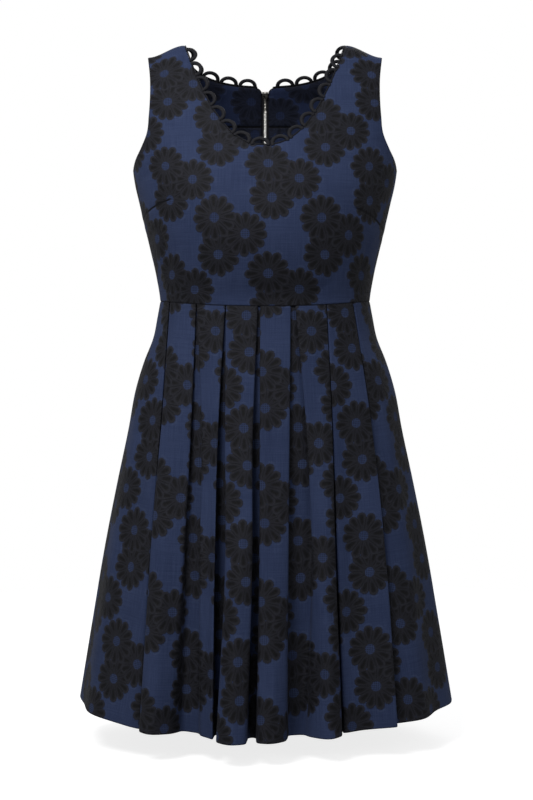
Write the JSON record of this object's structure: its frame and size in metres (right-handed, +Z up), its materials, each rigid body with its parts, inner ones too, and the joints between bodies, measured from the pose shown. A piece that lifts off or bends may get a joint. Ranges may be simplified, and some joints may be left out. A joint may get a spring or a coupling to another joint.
{
  "type": "a-line dress",
  "caption": "Sleeveless knee-length a-line dress, hollow as worn: scoop neck with cord loops, box-pleated skirt, exposed back zip with a hinged pull tab.",
  "frame": {"origin": "midway between the shoulders at the height of the neck ends of the shoulder seams, where the wearer holds the dress up", "axes": "+Z up, the front faces -Y, the wearer's left is +X"},
  "size_m": [0.4938, 0.3855, 0.8923],
  "materials": {
    "cloth": "navy slubbed weave with raised charcoal daisies",
    "facing": "the same cloth, inner side",
    "cord": "black ribbed cord",
    "tape": "black woven zip tape",
    "metal": "pale polished zip metal"
  },
  "bodies": {
    "dress": {"back_bodice_left": "cloth", "back_bodice_right": "cloth", "back_facing_left": "facing", "back_facing_right": "facing", "back_skirt_left": "cloth", "back_skirt_right": "cloth", "front_bodice": "cloth", "front_skirt": "cloth", "neck_loops_back_left": "cord", "neck_loops_back_right": "cord", "neck_loops_front": "cord", "zip_chain": "metal", "zip_slider": "metal", "zip_stop": "metal", "zip_tape_left": "tape", "zip_tape_right": "tape"},
    "pull_tab": {"zip_pull": "metal"}
  },
  "joints": [
    {"name": "pull_swing", "type": "hinge", "parent": "dress", "child": "pull_tab", "pos_m": [0, 0.06824, -0.05549], "axis": [1, 0, 0], "range_deg": [0, 150]}
  ]
}
